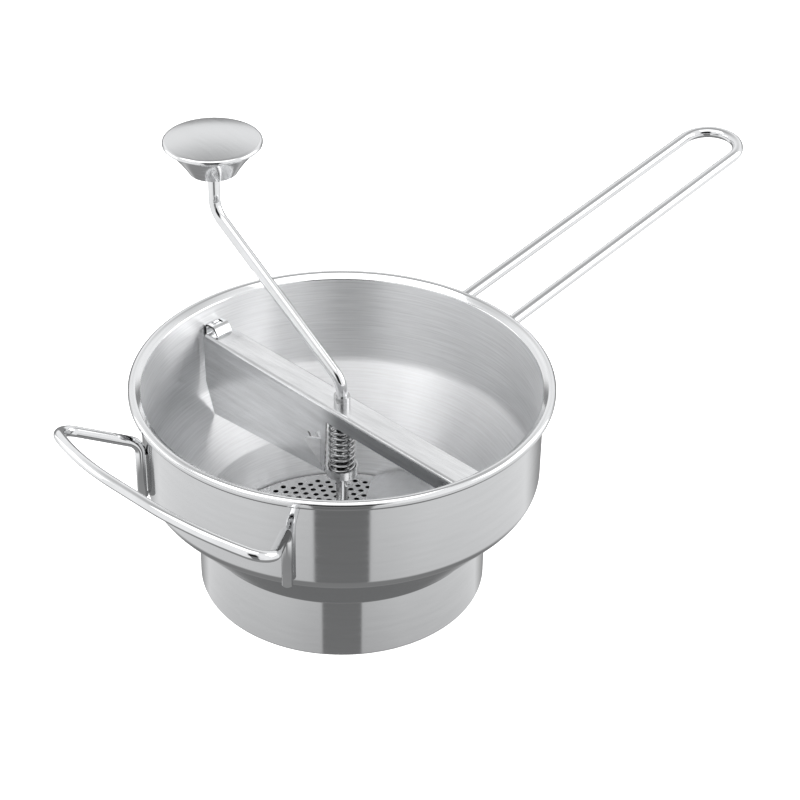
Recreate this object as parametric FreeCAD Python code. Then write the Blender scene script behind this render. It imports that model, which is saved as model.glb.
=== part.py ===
import FreeCAD, Part
import math
import os

# Rotary food mill in stainless steel.  Millimetres.  Origin: centre of the base on the
# surface it stands on.  +Z up, +X along the long handle, -X towards the front hook.
V = FreeCAD.Vector
UP = V(0, 0, 1)
BASE = V(0, 0, 0)

# ---- bowl: one deep-drawn sheet ----
sheet = 0.8
bowl_inner_r = 100.0
skirt_outer_r = 74.3
skirt_height = 34.0
cone_angle = 49.6            # from the horizontal
shoulder_r = 7.5             # bend from the cone into the wall
neck_bend_r = 1.5            # bend from the skirt into the cone
base_bend_r = 1.0
bowl_height = 118.0          # crest of the rim
rim_rise = 3.0               # from the crease at the top of the wall up to the crest
rim_crest_out = 3.6          # crest beyond the wall's middle
rim_edge_out = 5.7           # outer edge beyond the wall's middle
rim_edge_fall = 1.4          # outer edge below the crest
rim_depth = 4.4              # turned-under lip below the crest
rim_lip = 3.5                # how far the lip runs back inwards
rim_bends = [0.9, 2.0, 1.4, 1.3]
lip_width = 7.3              # inward lip that carries the disc

# ---- sieve disc: an inverted shallow pan on the lip ----
disc_sheet = 1.0
disc_top_z = 7.0
disc_gap = 0.4               # to the skirt, all round
disc_bend_r = 1.2
disc_dome = 5.0              # how far its middle stands above its edge
dome_foot_in = 8.3           # the slope starts this far inside the skirt
dome_top_r = 30.0            # and ends here
dome_bends = [20.0, 150.0]
hole_d = 3.0
hole_pitch = 5.7
plain_edge = 3.5             # unperforated margin outside the holes
plain_centre_r = 7.5
pilot_hole_d = 7.0

# ---- long handle: one bent wire ----
handle_wire_d = 6.3
handle_half_gap = 17.0       # centreline to the middle plane
handle_reach = 322.9         # centreline of the far loop, from the axis
handle_rise = 7.3            # degrees above the horizontal
handle_z = 106.9             # centreline height above the wall
handle_leg_z = 72.0          # lower end of the welded legs
handle_bend_r = 9.0

# ---- front hook: one bent wire ----
hook_wire_d = 5.5
hook_leg_y = 51.2
hook_leg_z = 66.0
hook_z = 98.0                # bend at the top of the legs
hook_rise = 22.8             # degrees above the horizontal
hook_corner_out = 36.0       # along the slope, from the legs to the corners
hook_corner_y = 75.7
hook_bow = 16.7              # how far the bar bows beyond its corners
hook_leg_bend_r = 7.0
hook_corner_r = 10.0

# ---- weld beads between wires and wall ----
bead_width = 4.2
bead_length = 22.0
bead_depth = 2.2
bead_root = 0.2              # taken off again by the wall's curve
handle_bead_rise = 1.0       # bead above the leg's lower end
hook_bead_rise = 4.0

# ---- bridge: inverted channel across the bowl with a fixed baffle on one half ----
bridge_yaw = -2.6            # degrees from the Y axis
bridge_sheet = 1.0
bridge_top_z = 102.0
bridge_width = 17.7
bridge_half_length = 97.0
bridge_flange = 8.7          # outside height of the channel
bridge_bend_r = 2.4          # outside radius of its long edges
wall_clearance = 0.9         # baffle edge to the bowl, measured level
baffle_drop = 46.5           # below the bridge top at the bowl wall
baffle_rise = 6.6            # its lower edge rises towards the shaft
baffle_inner_y = 4.0         # its inner edge, from the axis
baffle_inner_slant = 1.5
baffle_ease = 0.6            # its outer edge leaves the bridge's end by this much
baffle_ease_rise = 10.0      # this far above the cone
baffle_overlap = 1.0         # with the channel's flange
scoop_length = 10.5
scoop_height = 17.5
scoop_low_z = 64.0
scoop_angle = 32.0           # how far the scoop is bent out of the baffle
scoop_tip_r = 2.0
scoop_strip = 1.8            # of the baffle left beside the scoop

# ---- clips on the wall that hold the bridge ----
clip_sheet = 1.0
clip_width = 10.5
clip_top_z = 106.8
clip_reach = 9.5             # inwards from the wall to the tongue
clip_tongue_slant = 2.6      # how far the tongue leans inwards on its way down
clip_bend_r = 2.4
clip_tongue_r = 3.0
clip_tongue_gap = 0.10       # tongue tip above the bridge
clip_foot_z = 79.5
clip_foot_reach = 3.2
clip_foot_r = 1.4
clip_window = 6.0            # opening in the top of the hook, across
clip_window_length = 3.4
clip_window_wall = 2.0       # strip left between the opening and the wall

# ---- bush, shaft and crank ----
shaft_d = 6.0
running = 0.05               # radial running clearance
bush_outer_d = 8.4
bush_height = 5.0            # above the bridge
bush_flange_d = 13.0
bush_flange = 1.0
crank_reach = 86.0
crank_azimuth = 92.1         # degrees from +X, as it stands at rest
crank_arm_z = 114.8          # where the arm's line meets the shaft axis
crank_arm_rise = 37.4        # degrees above the horizontal
crank_low_r = 14.0
crank_high_r = 13.0
foot_z = 7.5                 # lower end of the shaft, inside the disc's dome

# ---- spring and its seat ----
spring_wire_d = 1.4
spring_d = 14.0              # outside
spring_turns = 11
spring_end_gap = 0.05
cup_z = 59.5                 # underside of the spring cup
cup_d = 16.4
cup_floor = 1.4
cup_wall = 0.8
cup_lip = 3.4
cup_pin_d = 2.4
cup_pin_reach = 5.5          # plain end, from the axis
cup_pin_azimuth = -110.0     # its eye, as it stands at rest
eye_out = 7.0                # middle of the eye, from the axis
eye_d = 4.1
eye_wire_d = 1.1
pin_seat_gap = 0.05

# ---- blade ----
blade_sheet = 1.2
blade_disc_gap = 0.35
blade_wall_gap = 1.6         # to the skirt
blade_angle = 25.9           # from the level, rising clockwise
blade_azimuth = 18.5         # its level line through the axis, as it stands at rest
hub_outer_d = 10.0
hub_foot_gap = 0.5           # hub above the dome
hub_height = 18.0
hub_pin_d = 2.4
hub_pin_length = 12.0
hub_pin_azimuth = 70.0
hub_pin_drop = 4.0           # below the top of the hub

# ---- knob ----
knob_d = 50.0
knob_edge_z = 220.0          # widest part
knob_dome = 3.6
knob_band = 1.8
knob_cap_sheet = 0.8
knob_foot_z = 203.0
knob_foot_d = 24.5
knob_corner = 0.6            # edge band's corner, up and down
knob_shoulder = 1.2          # width of the slope between dome and band
dome_share_r = 0.55          # a point of the dome: share of the radius
dome_share_z = 0.74          # and share of the dome's height
flank_in = 0.5               # how far the hollow flank lies inside a straight one
flank_up = 0.4
knob_bush_wall = 1.6
knob_bush_flange = 1.0
knob_bush_brim = 2.0         # width of its flange beyond the sleeve
ring_d = 9.6
ring_thickness = 1.2
ring_gap = 0.3
ring_drop = 5.0              # ring below the knob's edge band
ring_chamber_d = 13.6
knob_running = 0.08

# ---- values that follow ----
skirt_mid_r = skirt_outer_r - sheet / 2
wall_mid_r = bowl_inner_r + sheet / 2
wall_outer_r = bowl_inner_r + sheet
skirt_inner_r = skirt_outer_r - sheet
rim_crest_r = wall_mid_r + rim_crest_out
rim_edge_r = wall_mid_r + rim_edge_out
cone_slope = math.tan(math.radians(cone_angle))
disc_outer_r = skirt_inner_r - disc_gap
dome_foot_r = skirt_outer_r - dome_foot_in
disc_hole_limit = disc_outer_r - plain_edge - hole_d / 2
bridge_under_z = bridge_top_z - bridge_sheet
bush_top_z = bridge_top_z + bush_height
spring_top_z = bridge_under_z - bush_flange - spring_end_gap
spring_low_z = cup_z + cup_floor + spring_end_gap
shaft_hole_d = shaft_d + 2 * running
dome_top_z = disc_top_z + disc_dome
hub_low_z = dome_top_z + hub_foot_gap
hub_high_z = hub_low_z + hub_height
knob_x = crank_reach * math.cos(math.radians(crank_azimuth))
knob_y = crank_reach * math.sin(math.radians(crank_azimuth))
ring_low_z = knob_edge_z - knob_band - ring_drop


def save(name, shape):
    shape.exportStep("parts/" + name + ".step")
    print(name, len(shape.Solids), "solids", round(shape.Volume, 1), "mm3 valid", shape.isValid())


def corner(before, at, after, radius):
    """Tangent points and middle of the arc that rounds one corner of a path."""
    back = (before - at).normalize()
    on = (after - at).normalize()
    half_turn = (math.pi - back.getAngle(on)) / 2
    cut = radius * math.tan(half_turn)
    first = at + back * cut
    last = at + on * cut
    bisector = (back + on).normalize()
    middle = at + bisector * (radius / math.cos(half_turn) - radius)
    return first, middle, last


def rounded_path(points, radii):
    """Open path of straight runs and tangent arcs; radii has one value per inner point."""
    edges = []
    start = points[0]
    for i, radius in enumerate(radii):
        first, middle, last = corner(points[i], points[i + 1], points[i + 2], radius)
        if (first - start).Length > 1e-6:
            edges.append(Part.LineSegment(start, first).toShape())
        edges.append(Part.Arc(first, middle, last).toShape())
        start = last
    if (points[-1] - start).Length > 1e-6:
        edges.append(Part.LineSegment(start, points[-1]).toShape())
    return edges


def wire_rod(points, radii, diameter):
    """Round wire along a path."""
    path = Part.Wire(rounded_path(points, radii))
    direction = points[1] - points[0]
    profile = Part.Wire(Part.makeCircle(diameter / 2, points[0], direction))
    return path.makePipeShell([profile], True, True)


def strip_face(points, radii, thickness):
    """Cross-section of bent sheet in the XZ plane: centreline points and bend radii."""
    side = {}
    for sign in (1, -1):
        offset = sign * thickness / 2
        line = []
        for a, b in zip(points, points[1:]):
            run = (b - a).normalize()
            normal = V(-run.z, 0, run.x) * offset
            line.append((a + normal, b + normal, run))
        corners = [line[0][0]]
        for (p, _, d), (q, _, e) in zip(line, line[1:]):
            cross = d.x * e.z - d.z * e.x
            t = ((q.x - p.x) * e.z - (q.z - p.z) * e.x) / cross
            corners.append(p + d * t)
        corners.append(line[-1][1])
        bends = []
        for i, radius in enumerate(radii):
            d = line[i][2]
            e = line[i + 1][2]
            turn = 1 if d.x * e.z - d.z * e.x > 0 else -1
            bends.append(radius - turn * offset)
        side[sign] = rounded_path(corners, bends), corners
    ends = [Part.LineSegment(side[1][1][k], side[-1][1][k]).toShape() for k in (0, -1)]
    edges = side[1][0] + side[-1][0] + ends
    return Part.Face(Part.Wire(Part.__sortEdges__(edges)))


def turned(face, angle=360.0):
    return face.revolve(BASE, UP, angle)


def tube(outer_r, inner_r, low, high):
    ring = Part.makeCylinder(outer_r, high - low, V(0, 0, low))
    return ring.cut(Part.makeCylinder(inner_r, high - low + 2, V(0, 0, low - 1)))


def at_bridge(shape):
    """Turn a shape built with the bridge along Y to the bridge's own direction."""
    return shape.rotated(BASE, UP, bridge_yaw)


def make_bowl():
    """Skirt, cone, wall and rim: one outline of bent sheet, turned."""
    shoulder_z = skirt_height + cone_slope * (wall_mid_r - skirt_mid_r)
    outline = [V(skirt_outer_r - lip_width, 0, sheet / 2), V(skirt_mid_r, 0, sheet / 2), V(skirt_mid_r, 0, skirt_height),
               V(wall_mid_r, 0, shoulder_z), V(wall_mid_r, 0, bowl_height - rim_rise),
               V(rim_crest_r, 0, bowl_height), V(rim_edge_r, 0, bowl_height - rim_edge_fall),
               V(rim_edge_r, 0, bowl_height - rim_depth), V(rim_edge_r - rim_lip, 0, bowl_height - rim_depth)]
    return turned(strip_face(outline, [base_bend_r - sheet / 2, neck_bend_r, shoulder_r] + rim_bends, sheet))


def make_disc():
    flange_r = disc_outer_r - disc_sheet / 2
    top = disc_top_z - disc_sheet / 2
    outline = [V(flange_r, 0, sheet), V(flange_r, 0, top), V(dome_foot_r, 0, top),
               V(dome_top_r, 0, top + disc_dome), V(pilot_hole_d / 2, 0, top + disc_dome)]
    pan = turned(strip_face(outline, [disc_bend_r] + dome_bends, disc_sheet))
    row_step = hole_pitch * math.sqrt(3) / 2
    rows = int(disc_hole_limit / row_step)
    drills = []
    drill_length = disc_dome + 2 * disc_sheet
    for row in range(-rows, rows + 1):
        shift = hole_pitch / 2 if row % 2 else 0.0
        columns = int(disc_hole_limit / hole_pitch) + 1
        for column in range(-columns, columns + 1):
            x = column * hole_pitch + shift
            y = row * row_step
            if plain_centre_r + hole_d / 2 < math.hypot(x, y) < disc_hole_limit:
                drills.append(Part.makeCylinder(hole_d / 2, drill_length, V(x, y, top - disc_sheet)))
    print("disc holes", len(drills))
    return pan.cut(Part.makeCompound(drills))


def make_handle():
    r = handle_wire_d / 2
    leg_x = math.sqrt((wall_outer_r + r) ** 2 - handle_half_gap ** 2)
    slope = math.tan(math.radians(handle_rise))
    end_x = handle_reach
    bend_z = handle_z + slope * (leg_x - wall_outer_r)
    end_z = bend_z + slope * (end_x - leg_x)
    points = []
    for y in (-handle_half_gap, handle_half_gap):
        leg = [V(leg_x, y, handle_leg_z), V(leg_x, y, bend_z), V(end_x, y, end_z)]
        points += leg if y < 0 else leg[::-1]
    loop_r = handle_half_gap - 0.001
    return wire_rod(points, [handle_bend_r, loop_r, loop_r, handle_bend_r], handle_wire_d)


def hook_points():
    r = hook_wire_d / 2
    leg_x = math.sqrt((wall_outer_r + r) ** 2 - hook_leg_y ** 2)
    rise = math.radians(hook_rise)

    def out(distance, y):
        return V(-leg_x - distance * math.cos(rise), y, hook_z + distance * math.sin(rise))

    # the bar is an arc through its corners and its middle; its tangents give the path's points
    arc_r = (hook_corner_y ** 2 + hook_bow ** 2) / (2 * hook_bow)
    half_angle = math.asin(hook_corner_y / arc_r) / 2
    bend_y = arc_r * math.tan(half_angle)
    bar_out = hook_corner_out + hook_bow
    half = [V(-leg_x, hook_leg_y, hook_leg_z), out(0, hook_leg_y), out(hook_corner_out, hook_corner_y),
            out(bar_out, bend_y)]
    mirror = [V(p.x, -p.y, p.z) for p in reversed(half)]
    return half + mirror, leg_x


def make_hook():
    points, _ = hook_points()
    run = (points[3] - points[2]).Length
    half = (points[3] - points[4]).Length / 2
    turn = (points[3] - points[2]).getAngle(points[4] - points[3])
    corner_turn = (points[2] - points[1]).getAngle(points[3] - points[2])
    room = min(half, run - hook_corner_r * math.tan(corner_turn / 2))
    bow_r = 0.98 * room / math.tan(turn / 2)
    radii = [hook_leg_bend_r, hook_corner_r, bow_r, bow_r, hook_corner_r, hook_leg_bend_r]
    return wire_rod(points, radii, hook_wire_d)


def make_bead(azimuth_point, low, wire):
    """Weld bead that fills the groove between one leg and the bowl wall."""
    radial = V(azimuth_point.x, azimuth_point.y, 0)
    angle = math.degrees(math.atan2(radial.y, radial.x))
    block = Part.makeBox(bead_depth, bead_width, bead_length, V(wall_outer_r - bead_root, -bead_width / 2, low))
    block = block.rotated(BASE, UP, angle)
    block = block.cut(Part.makeCylinder(wall_outer_r, bead_length + 2, V(0, 0, low - 1)))
    return block.cut(wire)


def make_bridge():
    half = bridge_width / 2 - bridge_sheet / 2
    mid_z = bridge_top_z - bridge_sheet / 2
    low = bridge_top_z - bridge_flange
    bend = bridge_bend_r - bridge_sheet / 2
    outline = [V(-half, 0, low), V(-half, 0, mid_z), V(half, 0, mid_z), V(half, 0, low)]
    section = strip_face(outline, [bend, bend], bridge_sheet)
    section.translate(V(0, -bridge_half_length, 0))
    channel = section.extrude(V(0, 2 * bridge_half_length, 0))
    # the front flange runs down as the baffle on the +Y half; its outer edge follows the bowl
    front_x = -bridge_width / 2
    reach = bridge_half_length

    def cone_limit(z):
        r = skirt_mid_r + (z - skirt_height) / cone_slope - sheet / 2 / math.sin(math.radians(cone_angle))
        return math.sqrt(min((r - wall_clearance) ** 2, reach ** 2 + front_x ** 2) - front_x ** 2)

    foot_z = bridge_top_z - baffle_drop
    inner_z = foot_z + baffle_rise
    start_z = low + baffle_overlap
    outer_low = cone_limit(foot_z)
    full_z = foot_z + (reach - outer_low) * cone_slope
    edge = [V(front_x, baffle_inner_y - baffle_inner_slant, start_z), V(front_x, baffle_inner_y, inner_z),
            V(front_x, outer_low, foot_z), V(front_x, reach - baffle_ease, min(full_z + baffle_ease_rise, low)),
            V(front_x, reach, start_z)]
    plate = Part.Face(Part.makePolygon(edge + edge[:1])).extrude(V(bridge_sheet, 0, 0))
    # a slit frees a tongue of the baffle that is bent forwards as a scoop beside the shaft
    hinge = V(front_x, baffle_inner_y + scoop_strip, 0)
    scoop_top = scoop_low_z + scoop_height

    def tongue(root):
        tri = [hinge + V(0, -root, scoop_low_z), hinge + V(0, scoop_length, scoop_top),
               hinge + V(0, -root, scoop_top)]
        return Part.Face(Part.makePolygon(tri + tri[:1])).extrude(V(bridge_sheet, 0, 0))

    flap = tongue(bridge_sheet)
    tip = [e for e in flap.Edges if all(abs(v.Y - hinge.y - scoop_length) < 0.01 for v in e.Vertexes)]
    flap = flap.makeFillet(scoop_tip_r, tip).rotated(hinge, UP, scoop_angle)
    shape = channel.fuse(plate).cut(tongue(0)).fuse(flap)
    hole = Part.makeCylinder(bush_outer_d / 2, 4 * bridge_sheet, V(0, 0, bridge_under_z - bridge_sheet))
    return at_bridge(shape.cut(hole).removeSplitter())


def make_clip(side):
    """Bent strip on the wall: foot lip, back, hook over the bridge and tongue down to it."""
    back_r = bowl_inner_r - clip_sheet / 2
    tongue_r = bowl_inner_r - clip_reach
    hook_z_mid = clip_top_z - clip_sheet / 2
    drop = hook_z_mid - bridge_top_z
    tip = clip_sheet / 2 * clip_tongue_slant / math.hypot(clip_tongue_slant, drop)
    tongue_z = bridge_top_z + clip_tongue_gap + tip
    outline = [V(back_r - clip_foot_reach, 0, clip_foot_z), V(back_r, 0, clip_foot_z),
               V(back_r, 0, hook_z_mid), V(tongue_r + clip_tongue_slant, 0, hook_z_mid),
               V(tongue_r, 0, tongue_z)]
    angle = math.degrees(clip_width / bowl_inner_r)
    shape = turned(strip_face(outline, [clip_foot_r, clip_bend_r, clip_tongue_r], clip_sheet), angle)
    shape = shape.rotated(BASE, UP, 90 - angle / 2)
    far = bowl_inner_r - clip_window_wall
    window = Part.makeBox(clip_window, clip_window_length, 2 * drop,
                          V(-clip_window / 2, far - clip_window_length, clip_top_z - drop))
    shape = shape.cut(window)
    return at_bridge(shape.rotated(BASE, UP, 0 if side > 0 else 180))


def make_bush():
    neck = tube(bush_outer_d / 2, shaft_hole_d / 2, bridge_under_z - bush_flange, bush_top_z)
    flange = tube(bush_flange_d / 2, bush_outer_d / 2, bridge_under_z - bush_flange, bridge_under_z)
    return neck.fuse(flange).removeSplitter()


def make_spring():
    coil_r = (spring_d - spring_wire_d) / 2
    low = spring_low_z + spring_wire_d / 2
    height = spring_top_z - spring_low_z - spring_wire_d
    helix = Part.makeHelix(height / spring_turns, height, coil_r)
    profile = Part.Wire(Part.makeCircle(spring_wire_d / 2, V(coil_r, 0, 0), V(0, 1, 0)))
    coil = Part.Wire(helix.Edges).makePipeShell([profile], True, True)
    coil.translate(V(0, 0, low))
    return coil


def make_cup():
    floor = tube(cup_d / 2, shaft_hole_d / 2, cup_z, cup_z + cup_floor)
    wall = tube(cup_d / 2, cup_d / 2 - cup_wall, cup_z, cup_z + cup_floor + cup_lip)
    return floor.fuse(wall).removeSplitter()


def make_crank_rod():
    rise = math.tan(math.radians(crank_arm_rise))
    top_z = ring_low_z + ring_thickness
    turn = math.radians(90 - crank_arm_rise)
    points = [V(0, 0, foot_z), V(0, 0, crank_arm_z), V(knob_x, knob_y, crank_arm_z + rise * crank_reach),
              V(knob_x, knob_y, top_z)]
    print("arm bend starts", round(crank_arm_z - crank_low_r * math.tan(turn / 2), 2), "bush top", bush_top_z)
    rod = wire_rod(points, [crank_low_r, crank_high_r], shaft_d)
    return rod.cut(Part.makeCompound([make_cup_pin(), make_hub_pin()]))


def make_cup_pin():
    """Split pin through the shaft: plain end on one side, eye hanging on the other."""
    z = cup_z - pin_seat_gap - cup_pin_d / 2
    ring_r = (eye_d - eye_wire_d) / 2
    pin = Part.makeCylinder(cup_pin_d / 2, cup_pin_reach + eye_out + eye_wire_d, V(-cup_pin_reach, 0, z), V(1, 0, 0))
    eye = Part.makeTorus(ring_r, eye_wire_d / 2, V(eye_out, 0, z - ring_r), V(1, 0, 0))
    return pin.fuse(eye).rotated(BASE, UP, cup_pin_azimuth)


def make_hub_pin():
    pin = Part.makeCylinder(hub_pin_d / 2, hub_pin_length, V(-hub_pin_length / 2, 0, hub_high_z - hub_pin_drop),
                            V(1, 0, 0))
    return pin.rotated(BASE, UP, hub_pin_azimuth)


def make_hub():
    hub = tube(hub_outer_d / 2, shaft_d / 2, hub_low_z, hub_high_z)
    return hub.cut(make_hub_pin())


def make_blade():
    """Flat sheet inclined through the shaft; its low edge is trimmed to run just over the dome."""
    outer_r = skirt_inner_r - blade_wall_gap
    size = 2 * outer_r
    plate = Part.makeBox(2 * size, 2 * size, blade_sheet, V(-size, -size, 0))
    plate = plate.rotated(BASE, V(1, 0, 0), -blade_angle)
    plate = plate.rotated(BASE, UP, blade_azimuth).translated(UP * (dome_top_z + blade_disc_gap))
    reach = Part.makeCylinder(outer_r, size, BASE)
    edge_z = disc_top_z + blade_disc_gap
    top_z = dome_top_z + blade_disc_gap
    line = [BASE, V(0, 0, top_z), V(dome_top_r, 0, top_z), V(dome_foot_r, 0, edge_z), V(size, 0, edge_z),
            V(size, 0, 0)]
    below = turned(Part.Face(Part.makePolygon(line + line[:1])))
    core = Part.makeCylinder(hub_outer_d / 2, size, BASE)
    return plate.common(reach).cut(below).cut(core)


def at_knob(shape):
    return shape.translated(V(knob_x, knob_y, 0))


def make_knob_cap():
    """Thin pressed cover: shallow dome with a rounded edge band."""
    r = knob_d / 2
    t = knob_cap_sheet
    low = knob_edge_z - knob_band
    shell = []
    for inset in (0.0, t):
        edge = V(r - inset, 0, knob_edge_z - knob_corner)
        shoulder = V(r - knob_shoulder, 0, knob_edge_z + knob_corner - inset)
        dome = Part.Arc(V(0, 0, knob_edge_z + knob_dome - inset),
                        V(dome_share_r * r, 0, knob_edge_z + knob_dome * dome_share_z - inset), shoulder).toShape()
        shell.append((dome, shoulder, edge, V(r - inset, 0, low)))
    out, inn = shell
    edges = [out[0], Part.LineSegment(out[1], out[2]).toShape(), Part.LineSegment(out[2], out[3]).toShape(),
             Part.LineSegment(out[3], inn[3]).toShape(), Part.LineSegment(inn[3], inn[2]).toShape(),
             Part.LineSegment(inn[2], inn[1]).toShape(), inn[0],
             Part.LineSegment(V(0, 0, knob_edge_z + knob_dome), V(0, 0, knob_edge_z + knob_dome - t)).toShape()]
    return at_knob(turned(Part.Face(Part.Wire(Part.__sortEdges__(edges)))))


def make_knob_body():
    """Solid core: flat top inside the cap, hollow flank, bore for the bush, chamber for the ring."""
    top_r = knob_d / 2 - knob_cap_sheet
    top_z = knob_edge_z - knob_corner
    low_z = knob_edge_z - knob_band
    foot_r = knob_foot_d / 2
    bush_r = shaft_d / 2 + knob_running + knob_bush_wall
    mid = V((top_r + foot_r) / 2 - flank_in, 0, (low_z + knob_foot_z) / 2 + flank_up)
    chamber_low = ring_low_z - ring_gap
    chamber_r = ring_chamber_d / 2
    line = [V(bush_r, 0, knob_foot_z), V(foot_r, 0, knob_foot_z)]
    up = [V(top_r, 0, low_z), V(top_r, 0, top_z), V(chamber_r, 0, top_z), V(chamber_r, 0, chamber_low),
          V(bush_r, 0, chamber_low), V(bush_r, 0, knob_foot_z)]
    edges = [Part.LineSegment(line[0], line[1]).toShape(), Part.Arc(line[1], mid, up[0]).toShape()]
    edges += [Part.LineSegment(a, b).toShape() for a, b in zip(up, up[1:])]
    return at_knob(turned(Part.Face(Part.Wire(edges))))


def make_knob_bush():
    inner_r = shaft_d / 2 + knob_running
    sleeve = tube(inner_r + knob_bush_wall, inner_r, knob_foot_z - knob_bush_flange, ring_low_z - ring_gap)
    flange = tube(inner_r + knob_bush_wall + knob_bush_brim, inner_r + knob_bush_wall, knob_foot_z - knob_bush_flange,
                  knob_foot_z)
    return at_knob(sleeve.fuse(flange).removeSplitter())


def make_knob_ring():
    ring = Part.makeCylinder(ring_d / 2, ring_thickness, V(0, 0, ring_low_z))
    ring = ring.cut(Part.makeCylinder(shaft_d / 2, ring_thickness + 2, V(0, 0, ring_low_z - 1)))
    return at_knob(ring)


def main():
    os.makedirs("parts", exist_ok=True)
    handle = make_handle()
    hook = make_hook()
    _, hook_leg_x = hook_points()
    handle_leg_x = math.sqrt((wall_outer_r + handle_wire_d / 2) ** 2 - handle_half_gap ** 2)
    save("bowl", make_bowl())
    save("sieve_disc", make_disc())
    save("long_handle", handle)
    save("front_hook", hook)
    for name, sign in (("left", 1), ("right", -1)):
        save("handle_weld_" + name, make_bead(V(handle_leg_x, sign * handle_half_gap, 0), handle_leg_z + handle_bead_rise, handle))
        save("hook_weld_" + name, make_bead(V(-hook_leg_x, sign * hook_leg_y, 0), hook_leg_z + hook_bead_rise, hook))
        save("bridge_clip_" + name, make_clip(sign))
    save("bridge", make_bridge())
    save("bridge_bush", make_bush())
    save("spring", make_spring())
    save("spring_cup", make_cup())
    save("spring_pin", make_cup_pin())
    save("crank_rod", make_crank_rod())
    save("blade", make_blade())
    save("blade_hub", make_hub())
    save("hub_pin", make_hub_pin())
    save("knob_cap", make_knob_cap())
    save("knob_body", make_knob_body())
    save("knob_bush", make_knob_bush())
    save("knob_ring", make_knob_ring())


main()
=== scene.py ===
import bpy
import math
from mathutils import Matrix, Vector


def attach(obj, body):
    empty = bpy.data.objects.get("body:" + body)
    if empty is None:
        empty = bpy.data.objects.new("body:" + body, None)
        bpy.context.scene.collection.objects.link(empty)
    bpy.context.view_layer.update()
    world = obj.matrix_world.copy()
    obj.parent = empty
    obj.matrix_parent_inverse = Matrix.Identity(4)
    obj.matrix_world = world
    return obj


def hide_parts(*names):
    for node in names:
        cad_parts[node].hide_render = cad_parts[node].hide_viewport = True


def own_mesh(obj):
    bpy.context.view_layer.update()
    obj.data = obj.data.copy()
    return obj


# Looks of the rotary food mill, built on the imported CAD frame.  Sizes in millimetres, scaled by MM.
MM = 0.001
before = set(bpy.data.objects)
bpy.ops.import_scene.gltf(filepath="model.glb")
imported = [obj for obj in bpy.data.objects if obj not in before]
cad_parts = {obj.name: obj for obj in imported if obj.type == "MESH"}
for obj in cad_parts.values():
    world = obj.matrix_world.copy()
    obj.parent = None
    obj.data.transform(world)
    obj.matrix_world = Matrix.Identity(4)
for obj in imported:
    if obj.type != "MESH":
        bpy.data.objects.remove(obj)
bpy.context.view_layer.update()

# ---- sizes shared with the solids ----
sheet = 0.8
bowl_inner_r = 100.0
skirt_outer_r = 74.3
skirt_height = 34.0
cone_angle = 49.6
shoulder_r = 7.5
neck_bend_r = 1.5
base_bend_r = 0.6
bowl_height = 118.0
rim_rise = 3.0
rim_crest_out = 3.6
rim_edge_out = 5.7
rim_edge_fall = 1.4
rim_depth = 4.4
rim_lip = 3.5
rim_bends = [0.9, 2.0, 1.4, 1.3]
lip_inner_r = 67.0
handle_wire_d = 6.3
handle_half_gap = 17.0
handle_reach = 322.9
handle_rise = 7.3
handle_z = 106.9
handle_leg_z = 72.0
handle_bend_r = 9.0
hook_wire_d = 5.5
hook_leg_y = 51.2
hook_leg_z = 66.0
hook_z = 98.0
hook_rise = 22.8
hook_corner_out = 36.0
hook_corner_y = 75.7
hook_bow = 16.7
hook_leg_bend_r = 7.0
hook_corner_r = 10.0
shaft_d = 6.0
foot_z = 7.5
crank_reach = 86.0
crank_azimuth = 92.1
crank_arm_z = 114.8
crank_arm_rise = 37.4
crank_low_r = 14.0
crank_high_r = 13.0
ring_top_z = 214.4
knob_d = 50.0
knob_edge_z = 220.0
knob_dome = 3.6
knob_band = 1.8
knob_flat_in = 1.2           # the dome ends this far inside the edge
knob_shoulder = 0.6          # and this far above the widest part
knob_sheet = 0.8
knob_band_curve = [(0.5, 0.25), (0.12, -0.25), (0.0, -0.8)]  # inwards and up from the widest edge
knob_band_low = 0.5          # the band is upright down to here above its lower edge
knob_band_turn = 0.15        # and turns in by this below
knob_ceiling = (-0.6, -0.3)  # underside of the cover at its edge and middle
knob_dome_steps = 24
spring_wire_d = 1.4
spring_d = 14.0
spring_turns = 11
spring_low_z = 60.95
spring_top_z = 99.95
spring_closed_turns = 1.0    # at each end
spring_closed_rise = 0.12    # of an open turn's
spring_turn_points = 28
wall_outer_r = bowl_inner_r + sheet
bridge_yaw = -2.6
bridge_width = 17.7
arc_step = 3.0               # degrees between points on a wire's bends
joined_arcs = 0.001          # keeps the two arcs of the handle's loop apart
bow_ease = 0.98              # share of its room that the hook's bow takes
same_place = 0.01            # points nearer than this are one

# ---- camera ----
camera_azimuth = 46.0        # the camera stands this far round from -Y towards -X
camera_out = 873.6
camera_up = 687.6
camera_pitch = 33.746
camera_lens = 94.28
camera_shift = 0.0725

# ---- finishes ----
wall_margin = 0.3            # the rim's finish begins this far outside the wall
rim_face_margin = 0.2
rim_face_drop = 0.6          # the rim's upright face begins this far below its edge
scoop_out = 0.5              # the scoop stands this far in front of the bridge
mask_edge = 0.2              # width of a mask's soft edge
half_blend = 8.0             # each side of the shaft, where the far half's flange gets darker
# masks by steepness start and are full at these, 1 for a face square to the axis
flange_steep = (0.55, 0.85)
# painted shade on the bridge's upright faces, darker still beyond the shaft
flange_painted_shade = 0.80
far_flange_painted_shade = 0.45
# painted shade on the clips' cut edges
clip_steep = (0.5, 0.8)
clip_side_painted_shade = 0.08
# painted shade on the walls of the disc's holes
hole_steep = (0.8, 0.5)
hole_painted_shade = 0.03
grain_roughness = 0.65
grain_range = (0.3, 0.7)
shade_range = (0.32, 0.68)
bump_height = 0.0002
brush_amount = 0.95
brush_turn = 0.25

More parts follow.
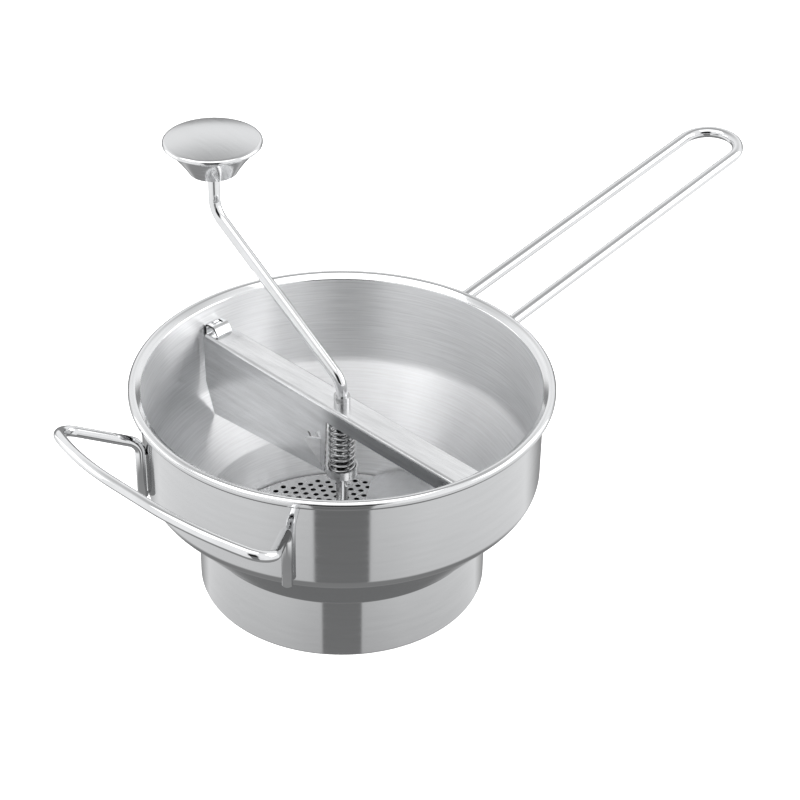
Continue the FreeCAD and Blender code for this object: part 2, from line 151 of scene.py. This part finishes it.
# ---- studio ----
world_white = 1.0
flag_half = 16.0             # degrees each side of the camera
flag_soft = 1.0
flag_top = 0.60              # sine of the flag's top edge
flag_top_soft = 0.1
flag_grey = 0.20
upper_half = 22.0            # the flag is wider and black above the horizon
upper_soft = 6.0
upper_rise = 0.05
upper_grey = 0.02
halo_half = 35.5             # softly grey round the flag, below the horizon
halo_soft = 19.5
halo_top = 0.1
halo_grey = 0.88
far_side = (0.50, 0.82)      # dark band low down on the side away from the camera
far_top = (0.22, 0.08)
steep_down = (-0.57, -0.80)  # dark floor, seen by the cone
beyond_grey = 0.28
sky_side = (-0.1, 0.3)       # the sky beyond the object darkens upwards
sky_rise = (0.45, 1.0)
sky_grey = 0.35
floor_half = 12000.0
floor_colour = 0.93
matt = 0.9
backdrop_r = 11500.0
backdrop_height = 9000.0
# painted shadow: the dark disc on the floor inside the skirt
shade_r = 72.0               # dark disc on the floor inside the skirt
shade_z = 0.15
shade_step = 6
shade_colour = 0.02
key_place = (-0.9, -0.3, 1.5)    # metres, in the camera's directions
key_target = (0, 0, 0.08)        # metres, on the shaft's axis
key_side = 0.9
key_power = 5
cards = {                    # corners in millimetres, in the camera's directions, and strength
    "left_box": ([(-900, -100, 0), (-900, -100, 500), (-700, 400, 500), (-700, 400, 0)], 1.6),
    "top_box": ([(-450, -550, 1000), (450, -550, 1000), (450, 50, 1000), (-450, 50, 1000)], 1.9),
    "right_box": ([(900, -300, 120), (900, 500, 120), (900, 500, 900), (900, -300, 900)], 2.4)}


def add_camera():
    data = bpy.data.cameras.new("camera")
    data.sensor_width = 36.0
    data.lens = camera_lens
    data.shift_x = camera_shift
    data.clip_start = 0.01
    camera = bpy.data.objects.new("camera", data)
    bpy.context.scene.collection.objects.link(camera)
    turn = math.radians(camera_azimuth)
    camera.location = (-camera_out * math.sin(turn) * MM, -camera_out * math.cos(turn) * MM, camera_up * MM)
    camera.rotation_euler = (math.radians(90 - camera_pitch), 0, -turn)
    bpy.context.scene.camera = camera


# ---- mesh tools ----
def corner_arc(before, at, after, radius, step):
    """Points along the arc that rounds one corner of a path."""
    back = (before - at).normalized()
    on = (after - at).normalized()
    half_turn = (math.pi - back.angle(on)) / 2
    cut = radius * math.tan(half_turn)
    centre = at + (back + on).normalized() * (radius / math.cos(half_turn))
    first = at + back * cut - centre
    axis = first.cross(at + on * cut - centre).normalized()
    count = max(3, math.ceil(math.degrees(2 * half_turn) / step))
    return [centre + Matrix.Rotation(2 * half_turn * i / count, 3, axis) @ first for i in range(count + 1)]


def rounded(points, radii, step=4.0):
    """Points of an open path of straight runs and arcs."""
    out = [points[0]]
    for i, radius in enumerate(radii):
        out += corner_arc(points[i], points[i + 1], points[i + 2], radius, step)
    out.append(points[-1])
    return [p for i, p in enumerate(out) if i == 0 or (p - out[i - 1]).length > same_place]


def new_object(name, vertices, faces, sharp_angle=35.0):
    mesh = bpy.data.meshes.new(name)
    mesh.from_pydata([Vector(v) * MM for v in vertices], [], faces)
    mesh.update()
    obj = bpy.data.objects.new(name, mesh)
    bpy.context.scene.collection.objects.link(obj)
    mesh.shade_smooth()
    mesh.set_sharp_from_angle(angle=math.radians(sharp_angle))
    return obj


def lathe(name, profile, closed=True, segments=192, centre=(0.0, 0.0)):
    """Turned surface from (radius, height) points; a radius of 0 makes a pole."""
    vertices = []
    rings = []
    for r, z in profile:
        if r < 1e-6:
            rings.append([len(vertices)] * segments)
            vertices.append((centre[0], centre[1], z))
            continue
        start = len(vertices)
        for k in range(segments):
            a = 2 * math.pi * k / segments
            vertices.append((centre[0] + r * math.cos(a), centre[1] + r * math.sin(a), z))
        rings.append(list(range(start, start + segments)))
    faces = []
    count = len(rings)
    for i in range(count if closed else count - 1):
        a = rings[i]
        b = rings[(i + 1) % count]
        for k in range(segments):
            n = (k + 1) % segments
            quad = [a[k], a[n], b[n], b[k]]
            face = [v for j, v in enumerate(quad) if v not in quad[:j]]
            if len(face) > 2:
                faces.append(face)
    return new_object(name, vertices, faces)


def sheet_profile(points, radii, thickness, step=5.0):
    """Both sides of a bent sheet, from its centreline of (radius, height) points."""
    flat = [Vector((p[0], 0, p[1])) for p in points]
    line = rounded(flat, radii, step)
    left = []
    right = []
    for i, p in enumerate(line):
        before = line[max(i - 1, 0)]
        after = line[min(i + 1, len(line) - 1)]
        run = (after - before).normalized()
        normal = Vector((-run.z, 0, run.x)) * thickness / 2
        left.append((p.x + normal.x, p.z + normal.z))
        right.append((p.x - normal.x, p.z - normal.z))
    return left, right


def sweep(name, points, diameter, sides=32, round_ends=0.6):
    """Round wire along points, with softly rounded ends."""
    radius = diameter / 2
    rows = []
    first = (points[1] - points[0]).normalized()
    side = first.orthogonal().normalized()
    for i, p in enumerate(points):
        before = points[max(i - 1, 0)]
        after = points[min(i + 1, len(points) - 1)]
        run = (after - before).normalized()
        side = (side - run * side.dot(run)).normalized()
        up = run.cross(side)
        rows.append((p, side.copy(), up, run))
    rings = []

    def ring(p, s, u, r):
        return [p + s * (r * math.cos(2 * math.pi * k / sides)) + u * (r * math.sin(2 * math.pi * k / sides))
                for k in range(sides)]

    p, s, u, t = rows[0]
    rings += [ring(p, s, u, radius - round_ends), ring(p + t * round_ends, s, u, radius)]
    rings += [ring(p, s, u, radius) for p, s, u, _ in rows[1:-1]]
    p, s, u, t = rows[-1]
    rings += [ring(p - t * round_ends, s, u, radius), ring(p, s, u, radius - round_ends)]
    vertices = [v for r in rings for v in r]
    faces = []
    for i in range(len(rings) - 1):
        for k in range(sides):
            n = (k + 1) % sides
            faces.append([i * sides + k, i * sides + n, (i + 1) * sides + n, (i + 1) * sides + k])
    last = (len(rings) - 1) * sides
    faces.append(list(range(sides))[::-1])
    faces.append([last + k for k in range(sides)])
    return new_object(name, vertices, faces, 50.0)


# ---- materials ----
def node(tree, kind, **values):
    n = tree.nodes.new(kind)
    for key, value in values.items():
        setattr(n, key, value)
    return n


def base_material(name, colour, roughness, metallic=1.0):
    material = bpy.data.materials.new(name)
    material.use_nodes = True
    shader = material.node_tree.nodes["Principled BSDF"]
    shader.inputs["Base Color"].default_value = (*colour, 1)
    shader.inputs["Roughness"].default_value = roughness
    shader.inputs["Metallic"].default_value = metallic
    return material, material.node_tree, shader


def streak_coordinates(tree, around, along, centre=(0.0, 0.0, 0.0)):
    """Coordinates on a turned piece: few cells around, many along its height and radius."""
    place = node(tree, "ShaderNodeTexCoord")
    shift = node(tree, "ShaderNodeVectorMath", operation="SUBTRACT")
    shift.inputs[1].default_value = centre
    parts = node(tree, "ShaderNodeSeparateXYZ")
    angle = node(tree, "ShaderNodeMath", operation="ARCTAN2")
    radius = node(tree, "ShaderNodeVectorMath", operation="LENGTH")
    flat = node(tree, "ShaderNodeVectorMath", operation="MULTIPLY")
    flat.inputs[1].default_value = (1, 1, 0)
    angle_scale = node(tree, "ShaderNodeMath", operation="MULTIPLY")
    angle_scale.inputs[1].default_value = around
    z_scale = node(tree, "ShaderNodeMath", operation="MULTIPLY")
    z_scale.inputs[1].default_value = along
    r_scale = node(tree, "ShaderNodeMath", operation="MULTIPLY")
    r_scale.inputs[1].default_value = along
    join = node(tree, "ShaderNodeCombineXYZ")
    link = tree.links.new
    link(place.outputs["Object"], shift.inputs[0])
    link(shift.outputs[0], parts.inputs[0])
    link(shift.outputs[0], flat.inputs[0])
    link(flat.outputs[0], radius.inputs[0])
    link(parts.outputs["Y"], angle.inputs[0])
    link(parts.outputs["X"], angle.inputs[1])
    link(angle.outputs[0], angle_scale.inputs[0])
    link(parts.outputs["Z"], z_scale.inputs[0])
    link(radius.outputs["Value"], r_scale.inputs[0])
    link(angle_scale.outputs[0], join.inputs[0])
    link(z_scale.outputs[0], join.inputs[1])
    link(r_scale.outputs[0], join.inputs[2])
    return join.outputs[0]


def box_coordinates(tree, scale):
    place = node(tree, "ShaderNodeTexCoord")
    mapping = node(tree, "ShaderNodeMapping")
    mapping.inputs["Scale"].default_value = scale
    tree.links.new(place.outputs["Object"], mapping.inputs["Vector"])
    return mapping.outputs[0]


def add_grain(tree, shader, coordinates, detail, rough_low, rough_high, bump, dark, light):
    """Streaks in roughness, colour and height from one noise."""
    noise = node(tree, "ShaderNodeTexNoise")
    noise.inputs["Scale"].default_value = 1.0
    noise.inputs["Detail"].default_value = detail
    noise.inputs["Roughness"].default_value = grain_roughness
    rough = node(tree, "ShaderNodeMapRange")
    rough.inputs["From Min"].default_value = grain_range[0]
    rough.inputs["From Max"].default_value = grain_range[1]
    rough.inputs["To Min"].default_value = rough_low
    rough.inputs["To Max"].default_value = rough_high
    ramp = node(tree, "ShaderNodeValToRGB")
    ramp.color_ramp.elements[0].position = shade_range[0]
    ramp.color_ramp.elements[0].color = (*dark, 1)
    ramp.color_ramp.elements[1].position = shade_range[1]
    ramp.color_ramp.elements[1].color = (*light, 1)
    height = node(tree, "ShaderNodeBump")
    height.inputs["Strength"].default_value = bump
    height.inputs["Distance"].default_value = bump_height
    link = tree.links.new
    link(coordinates, noise.inputs["Vector"])
    link(noise.outputs["Fac"], rough.inputs["Value"])
    link(rough.outputs[0], shader.inputs["Roughness"])
    link(noise.outputs["Fac"], ramp.inputs["Fac"])
    link(ramp.outputs["Color"], shader.inputs["Base Color"])
    link(noise.outputs["Fac"], height.inputs["Height"])
    link(height.outputs[0], shader.inputs["Normal"])


def soft_step(tree, value, low, high):
    """0 below low, 1 above high, smooth between."""
    ramp = node(tree, "ShaderNodeMapRange", interpolation_type="SMOOTHSTEP")
    ramp.inputs["From Min"].default_value = low
    ramp.inputs["From Max"].default_value = high
    tree.links.new(value, ramp.inputs["Value"])
    return ramp.outputs[0]


def times(tree, a, b):
    out = node(tree, "ShaderNodeMath", operation="MULTIPLY")
    tree.links.new(a, out.inputs[0])
    tree.links.new(b, out.inputs[1])
    return out.outputs[0]


def along_axis(tree, output, axis):
    """How far a place, or how much a normal, lies along an axis fixed in the object."""
    place = node(tree, "ShaderNodeTexCoord")
    dot = node(tree, "ShaderNodeVectorMath", operation="DOT_PRODUCT")
    dot.inputs[1].default_value = axis
    tree.links.new(place.outputs[output], dot.inputs[0])
    return dot.outputs["Value"]


def steepness(tree, axis):
    """How squarely a face looks along an axis, either way."""
    size = node(tree, "ShaderNodeMath", operation="ABSOLUTE")
    tree.links.new(along_axis(tree, "Normal", axis), size.inputs[0])
    return size.outputs[0]


def paint_shade(tree, shader, mask, colour):
    """Painted shade: the base colour is multiplied by another one where the mask is 1."""
    mix = node(tree, "ShaderNodeMix", data_type="RGBA", blend_type="MULTIPLY")
    mix.inputs[7].default_value = (*colour, 1)
    tree.links.new(shader.inputs["Base Color"].links[0].from_socket, mix.inputs[6])
    tree.links.new(mask, mix.inputs[0])
    tree.links.new(mix.outputs[2], shader.inputs["Base Color"])


def radial_tangent(tree, shader, amount, rotation):
    """Reflections spread across the circular brushing."""
    tangent = node(tree, "ShaderNodeTangent", direction_type="RADIAL", axis="Z")
    tree.links.new(tangent.outputs[0], shader.inputs["Tangent"])
    shader.inputs["Anisotropic"].default_value = amount
    shader.inputs["Anisotropic Rotation"].default_value = rotation


def grey(value):
    """Steel grey, a little cool."""
    return (value, value * 1.005, value * 1.012)


def steel(name, shade, roughness, coordinates, detail, rough, bump, shades, metallic=1.0):
    """Streaked metal; rough and shades are its lowest and highest roughness and grey."""
    material, tree, shader = base_material(name, grey(shade), roughness, metallic)
    kind, *values = coordinates
    add_grain(tree, shader, kind(tree, *values), detail, *rough, bump, grey(shades[0]), grey(shades[1]))
    return material, tree, shader


def make_materials():
    x, y = knob_centre()
    streaks = streak_coordinates
    box = box_coordinates
    knob_streaks = (streaks, 2.0, 1200.0, (x * MM, y * MM, 0))
    rows = {
        "outside": ("bowl_outside", 0.62, 0.08, (streaks, 3.0, 300.0), 2, (0.06, 0.10), 0.0, (0.61, 0.635)),
        "inside": ("bowl_inside", 0.92, 0.42, (streaks, 3.0, 1100.0), 4, (0.36, 0.48), 0.06, (0.82, 0.98)),
        "rim": ("bright_rim", 0.80, 0.1, (streaks, 2.0, 500.0), 2, (0.06, 0.12), 0.0, (0.76, 0.84)),
        "wire": ("bright_wire", 0.80, 0.05, (box, (60, 60, 60)), 3, (0.03, 0.07), 0.0, (0.76, 0.84)),
        "sheet": ("sheet_satin", 0.84, 0.2, (box, (300, 30, 300)), 3, (0.14, 0.22), 0.01, (0.80, 0.88)),
        "bridge": ("bridge_sheet", 0.90, 0.2, (box, (300, 30, 300)), 4, (0.16, 0.26), 0.01, (0.72, 0.90)),
        "clip": ("clip_strip", 0.92, 0.1, (box, (200, 200, 200)), 3, (0.08, 0.14), 0.01, (0.88, 0.96)),
        "disc": ("disc_steel", 0.80, 0.25, (box, (120, 120, 120)), 3, (0.20, 0.30), 0.02, (0.76, 0.84), 0.7),
        "turned": ("turned_steel", 0.55, 0.2, (streaks, 2.0, 1500.0), 2, (0.14, 0.24), 0.03, (0.48, 0.60)),
        "spring": ("spring_wire", 0.42, 0.12, (box, (200, 200, 200)), 2, (0.10, 0.16), 0.02, (0.36, 0.48)),
        # painted shade: a darker copy of the wire's steel, for the crank rod below the spring's top
        "shaft": ("shaft_steel", 0.30, 0.12, (box, (300, 300, 40)), 3, (0.08, 0.16), 0.01, (0.24, 0.36)),
        "knob": ("knob_satin", 0.72, 0.22, (box, (1400, 60, 60)), 3, (0.18, 0.26), 0.01, (0.70, 0.75)),
        "knob_core": ("knob_polished", 0.80, 0.1, knob_streaks, 2, (0.08, 0.14), 0.02, (0.74, 0.84))}
    made = {key: steel(*row) for key, row in rows.items()}

    radial_tangent(*made["inside"][1:], brush_amount, brush_turn)

    # painted shade: the bridge's upright faces are painted darker, more so beyond the shaft, but not the scoop
    tree, shader = made["bridge"][1:]
    turn = math.radians(bridge_yaw)
    across = (math.cos(turn), math.sin(turn), 0)
    front = -(bridge_width / 2 + scoop_out) * MM
    flange = times(tree, soft_step(tree, steepness(tree, across), *flange_steep),
                   soft_step(tree, along_axis(tree, "Object", across), front, front + mask_edge * MM))
    paint_shade(tree, shader, flange, grey(flange_painted_shade))
    far_half = soft_step(tree, along_axis(tree, "Object", (0, 1, 0)), half_blend * MM, -half_blend * MM)
    paint_shade(tree, shader, times(tree, flange, far_half), grey(far_flange_painted_shade))

    # painted shade on the cut edges of the clips, and on the walls of the disc's holes
    tree, shader = made["clip"][1:]
    paint_shade(tree, shader, soft_step(tree, steepness(tree, across), *clip_steep), grey(clip_side_painted_shade))
    tree, shader = made["disc"][1:]
    paint_shade(tree, shader, soft_step(tree, steepness(tree, (0, 0, 1)), *hole_steep), grey(hole_painted_shade))

    materials = {key: row[0] for key, row in made.items()}
    materials["nylon"], tree, shader = base_material("nylon", (0.03, 0.03, 0.03), 0.45, 0.0)
    add_grain(tree, shader, box_coordinates(tree, (400, 400, 400)), 2, 0.38, 0.52, 0.05,
              (0.02, 0.02, 0.02), (0.04, 0.04, 0.04))
    return materials


def knob_centre():
    turn = math.radians(crank_azimuth)
    return crank_reach * math.cos(turn), crank_reach * math.sin(turn)


# ---- pieces ----
def finish_piece(obj, material, body, nodes):
    if not obj.data.materials:
        obj.data.materials.append(material)
    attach(obj, body)
    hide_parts(*nodes)


def add_bowl(materials):
    slope = math.tan(math.radians(cone_angle))
    skirt_r = skirt_outer_r - sheet / 2
    wall_r = bowl_inner_r + sheet / 2
    edge_r = wall_r + rim_edge_out
    points = [(lip_inner_r, sheet / 2), (skirt_r, sheet / 2), (skirt_r, skirt_height),
              (wall_r, skirt_height + slope * (wall_r - skirt_r)), (wall_r, bowl_height - rim_rise),
              (wall_r + rim_crest_out, bowl_height), (edge_r, bowl_height - rim_edge_fall),
              (edge_r, bowl_height - rim_depth), (edge_r - rim_lip, bowl_height - rim_depth)]
    inner, outer = sheet_profile(points, [base_bend_r, neck_bend_r, shoulder_r] + rim_bends, sheet)
    profile = outer + inner[::-1]
    obj = lathe("bowl_shell", profile, segments=256)
    finishes = ("inside", "rim", "outside")
    for key in finishes:
        obj.data.materials.append(materials[key])
    crease_z = (bowl_height - rim_rise) * MM
    wall_outer = (wall_outer_r + wall_margin) * MM
    face_r = (edge_r - rim_face_margin) * MM
    face_z = (bowl_height - rim_edge_fall - rim_face_drop) * MM
    for polygon in obj.data.polygons:
        c = polygon.center
        r = math.hypot(c.x, c.y)
        faces_out = c.x * polygon.normal.x + c.y * polygon.normal.y > 0
        if r > face_r and c.z < face_z:
            look = "outside"
        elif c.z > crease_z or r > wall_outer:
            look = "rim"
        elif faces_out or c.z < sheet * MM:
            look = "outside"
        else:
            look = "inside"
        polygon.material_index = finishes.index(look)
    finish_piece(obj, None, "bowl", ["bowl"])


def add_handle(materials):
    r = handle_wire_d / 2
    leg_x = math.sqrt((wall_outer_r + r) ** 2 - handle_half_gap ** 2)
    slope = math.tan(math.radians(handle_rise))
    bend_z = handle_z + slope * (leg_x - wall_outer_r)
    end_z = bend_z + slope * (handle_reach - leg_x)
    half = [Vector((leg_x, -handle_half_gap, handle_leg_z)), Vector((leg_x, -handle_half_gap, bend_z)),
            Vector((handle_reach, -handle_half_gap, end_z))]
    points = half + [Vector((p.x, -p.y, p.z)) for p in reversed(half)]
    loop_r = handle_half_gap - joined_arcs
    line = rounded(points, [handle_bend_r, loop_r, loop_r, handle_bend_r], arc_step)
    finish_piece(sweep("handle_wire", line, handle_wire_d), materials["wire"], "bowl",
                 ["long_handle"])


def add_hook(materials):
    leg_x = math.sqrt((wall_outer_r + hook_wire_d / 2) ** 2 - hook_leg_y ** 2)
    rise = math.radians(hook_rise)

    def out(distance, y):
        return Vector((-leg_x - distance * math.cos(rise), y, hook_z + distance * math.sin(rise)))

    arc_r = (hook_corner_y ** 2 + hook_bow ** 2) / (2 * hook_bow)
    bend_y = arc_r * math.tan(math.asin(hook_corner_y / arc_r) / 2)
    half = [Vector((-leg_x, hook_leg_y, hook_leg_z)), out(0, hook_leg_y), out(hook_corner_out, hook_corner_y),
            out(hook_corner_out + hook_bow, bend_y)]
    points = half + [Vector((p.x, -p.y, p.z)) for p in reversed(half)]
    run = (points[3] - points[2]).length
    turn = (points[3] - points[2]).angle(points[4] - points[3])
    corner_turn = (points[2] - points[1]).angle(points[3] - points[2])
    room = min(bend_y, run - hook_corner_r * math.tan(corner_turn / 2))
    bow_r = bow_ease * room / math.tan(turn / 2)
    radii = [hook_leg_bend_r, hook_corner_r, bow_r, bow_r, hook_corner_r, hook_leg_bend_r]
    line = rounded(points, radii, arc_step)
    finish_piece(sweep("hook_wire", line, hook_wire_d), materials["wire"], "bowl", ["front_hook"])


def add_crank(materials):
    rise = math.tan(math.radians(crank_arm_rise))
    x, y = knob_centre()
    points = [Vector((0, 0, foot_z)), Vector((0, 0, crank_arm_z)),
              Vector((x, y, crank_arm_z + rise * crank_reach)), Vector((x, y, ring_top_z))]
    line = rounded(points, [crank_low_r, crank_high_r], arc_step)
    line.insert(1, Vector((0, 0, spring_top_z)))
    obj = sweep("crank_wire", line, shaft_d)
    obj.data.materials.append(materials["wire"])
    obj.data.materials.append(materials["shaft"])
    # painted shade: below the spring's top the same rod gets the darker shaft material
    for polygon in obj.data.polygons:
        if polygon.center.z < spring_top_z * MM:
            polygon.material_index = 1
    finish_piece(obj, None, "crank", ["crank_rod"])


def add_spring(materials):
    """Coil with closed ends, carried with the bridge; the real spring shortens towards the bridge as the crank is
    lifted.
    """
    radius = (spring_d - spring_wire_d) / 2
    low = spring_low_z + spring_wire_d / 2
    high = spring_top_z - spring_wire_d / 2
    all_turns = spring_turns + 2 * spring_closed_turns
    rise = 0.0
    heights = []
    for i in range(int(spring_turn_points * all_turns) + 1):
        turn = i / spring_turn_points
        heights.append(rise)
        near_end = min(turn, all_turns - turn)
        rise += spring_closed_rise if near_end < spring_closed_turns else 1.0
    points = []
    for i, h in enumerate(heights):
        angle = 2 * math.pi * i / spring_turn_points
        points.append(Vector((radius * math.cos(angle), radius * math.sin(angle),
                              low + (high - low) * h / heights[-1])))
    obj = sweep("coil_spring", points, spring_wire_d, sides=12, round_ends=0.2)
    obj.data.materials.append(materials["spring"])
    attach(obj, "bridge")
    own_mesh(obj)
    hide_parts("spring")


def add_knob(materials):
    """Cover with a shallow dome and a bright rolled edge band."""
    centre = knob_centre()
    r = knob_d / 2
    z = knob_edge_z
    flat_r = r - knob_flat_in
    bow = knob_dome - knob_shoulder
    shares = [i / knob_dome_steps for i in range(knob_dome_steps + 1)]
    dome = [(flat_r * share, z + knob_shoulder + bow * (1 - share * share)) for share in shares]
    band = [(r - inwards, z + up) for inwards, up in knob_band_curve]
    band += [(r, z - knob_band + knob_band_low), (r - knob_band_turn, z - knob_band)]
    inner = [(r - knob_sheet, z - knob_band), (r - knob_sheet, z + knob_ceiling[0]), (0, z + knob_ceiling[1])]
    cap = lathe("knob_cover", (dome + band + inner)[::-1], closed=False, segments=128, centre=centre)
    cap.data.materials.append(materials["knob"])
    cap.data.materials.append(materials["knob_core"])
    for polygon in cap.data.polygons:
        c = polygon.center - Vector((centre[0] * MM, centre[1] * MM, 0))
        if math.hypot(c.x, c.y) > (flat_r - mask_edge) * MM or c.z < z * MM:
            polygon.material_index = 1
    finish_piece(cap, None, "knob", ["knob_cap"])


def paint_nodes(materials):
    """CAD nodes that stay as they are get their materials here."""
    looks = {"sieve_disc": "disc", "bridge": "bridge", "blade": "sheet", "bridge_clip_left": "clip",
             "bridge_clip_right": "clip", "bridge_bush": "turned", "spring_cup": "turned", "spring_pin": "turned",
             "blade_hub": "turned", "hub_pin": "turned", "knob_body": "knob_core", "knob_bush": "nylon",
             "knob_ring": "turned", "handle_weld_left": "wire", "handle_weld_right": "wire",
             "hook_weld_left": "wire", "hook_weld_right": "wire"}
    for name, look in looks.items():
        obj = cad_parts[name]
        obj.data.materials.clear()
        obj.data.materials.append(materials[look])


# ---- studio ----
def plane(name, corners):
    obj = new_object(name, corners, [list(range(len(corners)))])
    return obj


def matt_material(name, colour):
    material = bpy.data.materials.new(name)
    material.use_nodes = True
    shader = material.node_tree.nodes["Principled BSDF"]
    shader.inputs["Base Color"].default_value = (colour, colour, colour, 1)
    shader.inputs["Roughness"].default_value = matt
    return material, shader


def add_floor():
    size = floor_half
    floor = plane("floor", [(-size, -size, 0), (size, -size, 0), (size, size, 0), (-size, size, 0)])
    material, shader = matt_material("pale_floor", floor_colour)
    shader.inputs["Specular IOR Level"].default_value = 0.0
    shader.inputs["Emission Color"].default_value = (1, 1, 1, 1)
    shader.inputs["Emission Strength"].default_value = 1.0
    material.cycles.emission_sampling = "NONE"
    floor.data.materials.append(material)
    floor.visible_glossy = False
    # pale wall round the floor, for views near the horizon
    wall = lathe("backdrop", [(backdrop_r, 0.0), (backdrop_r, backdrop_height)], closed=False, segments=96)
    wall.data.materials.append(material)
    wall.visible_glossy = False
    wall.visible_diffuse = False
    wall.visible_shadow = False
    # painted shadow: a dark disc on the floor inside the skirt, which gets no light
    angles = [math.radians(a) for a in range(0, 360, shade_step)]
    shade = plane("floor_shade", [(shade_r * math.cos(a), shade_r * math.sin(a), shade_z) for a in angles])
    shade.data.materials.append(matt_material("floor_shade", shade_colour)[0])


def card(name, corners, strength):
    """A studio card that shows only in reflections."""
    obj = plane(name, corners)
    material = bpy.data.materials.new(name)
    material.use_nodes = True
    tree = material.node_tree
    tree.nodes.clear()
    glow = node(tree, "ShaderNodeEmission")
    glow.inputs["Strength"].default_value = strength
    out = node(tree, "ShaderNodeOutputMaterial")
    tree.links.new(glow.outputs[0], out.inputs[0])
    obj.data.materials.append(material)
    obj.visible_camera = False
    obj.visible_diffuse = False
    obj.visible_shadow = False
    obj.visible_transmission = False


def from_camera(x, y, z):
    """A place given in the camera's own directions: x to its right, y away from it."""
    turn = math.radians(-camera_azimuth)
    return (x * math.cos(turn) - y * math.sin(turn), x * math.sin(turn) + y * math.cos(turn), z)


def within(tree, angle, half, soft):
    """1 within so many degrees of the camera's side, with a soft edge."""
    half = math.radians(half)
    soft = math.radians(soft)
    return times(tree, soft_step(tree, angle, -half - soft, -half + soft),
                 soft_step(tree, angle, half + soft, half - soft))


def add_world():
    """White studio seen only in reflections: a dark flag by the camera, dark below and far beyond."""
    world = bpy.data.worlds.new("studio")
    bpy.context.scene.world = world
    world.use_nodes = True
    tree = world.node_tree
    link = tree.links.new
    turn = node(tree, "ShaderNodeMapping", vector_type="VECTOR")
    turn.inputs["Rotation"].default_value = (0, 0, math.radians(camera_azimuth))
    place = node(tree, "ShaderNodeTexCoord")
    parts = node(tree, "ShaderNodeSeparateXYZ")
    link(place.outputs["Generated"], turn.inputs["Vector"])
    link(turn.outputs[0], parts.inputs[0])
    side = node(tree, "ShaderNodeMath", operation="ARCTAN2")
    flip = node(tree, "ShaderNodeMath", operation="MULTIPLY")
    flip.inputs[1].default_value = -1.0
    link(parts.outputs["Y"], flip.inputs[0])
    link(parts.outputs["X"], side.inputs[0])
    link(flip.outputs[0], side.inputs[1])
    angle = side.outputs[0]
    away = parts.outputs["Y"]
    up = parts.outputs["Z"]
    below_top = soft_step(tree, up, flag_top + flag_top_soft, flag_top - flag_top_soft)
    flag = times(tree, within(tree, angle, flag_half, flag_soft), below_top)
    upper = times(tree, within(tree, angle, upper_half, upper_soft),
                  times(tree, soft_step(tree, up, -upper_rise, upper_rise), below_top))
    halo = times(tree, within(tree, angle, halo_half, halo_soft), soft_step(tree, up, halo_top, -halo_top))
    sky = times(tree, soft_step(tree, away, *sky_side), soft_step(tree, up, *sky_rise))
    beyond = node(tree, "ShaderNodeMath", operation="MAXIMUM")
    link(times(tree, soft_step(tree, away, *far_side), soft_step(tree, up, *far_top)), beyond.inputs[0])
    link(soft_step(tree, up, *steep_down), beyond.inputs[1])
    colour = None
    layers = [(sky, sky_grey), (halo, halo_grey), (flag, flag_grey), (upper, upper_grey),
              (beyond.outputs[0], beyond_grey)]
    for mask, value in layers:
        mix = node(tree, "ShaderNodeMix", data_type="RGBA")
        mix.inputs[6].default_value = (*grey(world_white), 1)
        mix.inputs[7].default_value = (*grey(value), 1)
        link(mask, mix.inputs[0])
        if colour:
            link(colour, mix.inputs[6])
        colour = mix.outputs[2]
    link(colour, tree.nodes["Background"].inputs["Color"])


def add_lights():
    """One soft key light, and cards for the reflections."""
    data = bpy.data.lights.new("key_light", "AREA")
    data.shape = "RECTANGLE"
    data.size = key_side
    data.size_y = key_side
    data.energy = key_power
    light = bpy.data.objects.new("key_light", data)
    bpy.context.scene.collection.objects.link(light)
    place = Vector(from_camera(*key_place))
    light.location = place
    light.rotation_euler = (Vector(key_target) - place).to_track_quat("-Z", "Y").to_euler()
    for name, (corners, strength) in cards.items():
        card(name, [from_camera(*corner) for corner in corners], strength)
    bpy.context.scene.view_settings.view_transform = "Standard"


materials = make_materials()
add_camera()
add_bowl(materials)
add_handle(materials)
add_hook(materials)
add_crank(materials)
add_spring(materials)
add_knob(materials)
paint_nodes(materials)
add_floor()
add_world()
add_lights()
